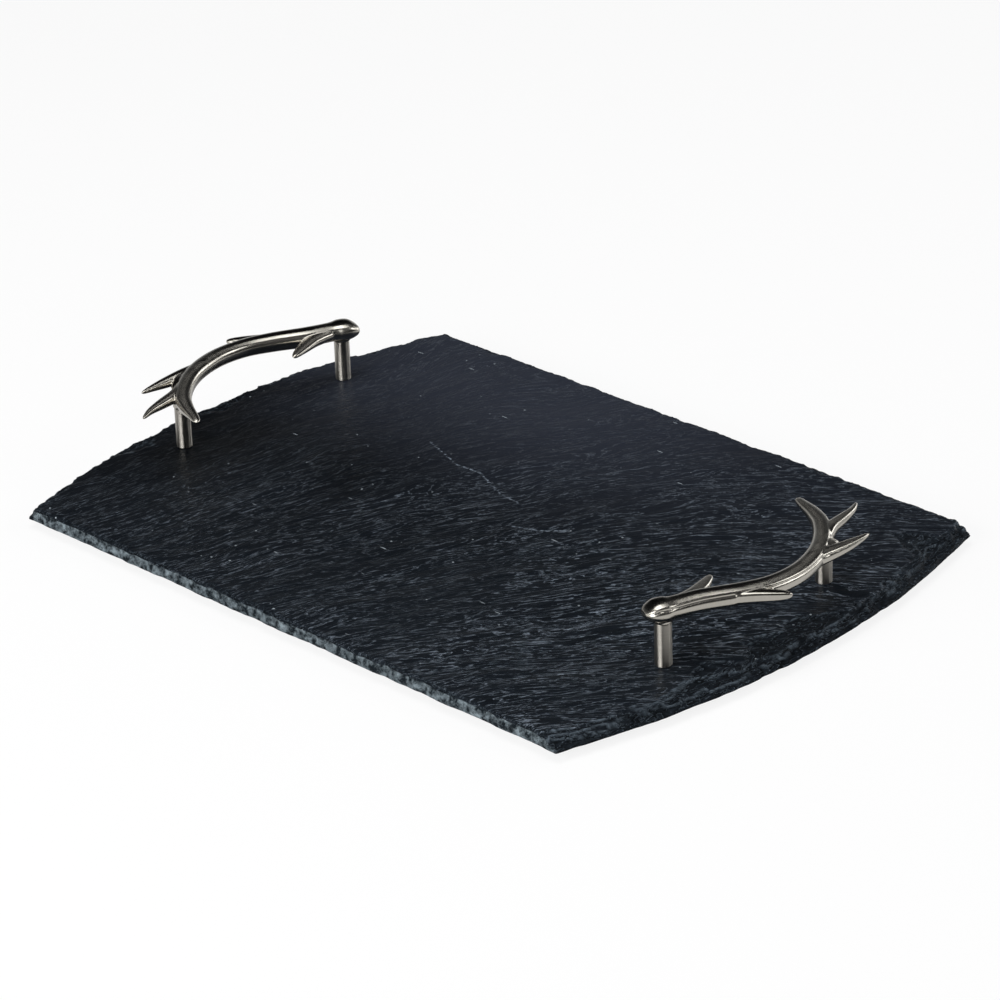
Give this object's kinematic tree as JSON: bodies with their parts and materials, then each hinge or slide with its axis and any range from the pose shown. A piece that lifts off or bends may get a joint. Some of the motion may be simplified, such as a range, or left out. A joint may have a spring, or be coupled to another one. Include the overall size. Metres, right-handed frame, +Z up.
{
  "type": "slate serving board",
  "caption": "Oblong slate serving board with bowed short ends and a raised antler-shaped metal carrying handle near each end, for serving food.",
  "frame": {"origin": "middle of the whole board's bounding box, on the flats that the feet stand on", "axes": "+Z up; +X along the board's length, towards its right end in the picture; +Y along its width, away from the viewer"},
  "size_m": [0.3574, 0.25, 0.0386],
  "materials": {
    "slate": "riven blue-black slate, satin",
    "cast_metal": "satin nickel on a casting",
    "post_metal": "satin nickel on a turned bar",
    "fixing_steel": "bright zinc plate",
    "washer_nylon": "natural nylon",
    "foot_rubber": "matt black rubber"
  },
  "bodies": {
    "root": {"slate_board": "slate", "left_antler": "cast_metal", "right_antler": "cast_metal", "left_rear_post": "post_metal", "left_front_post": "post_metal", "right_front_post": "post_metal", "right_rear_post": "post_metal", "post_studs": "fixing_steel", "fixing_screws": "fixing_steel", "screw_washers": "washer_nylon", "left_front_foot": "foot_rubber", "right_front_foot": "foot_rubber", "right_rear_foot": "foot_rubber", "left_rear_foot": "foot_rubber"}
  },
  "joints": []
}
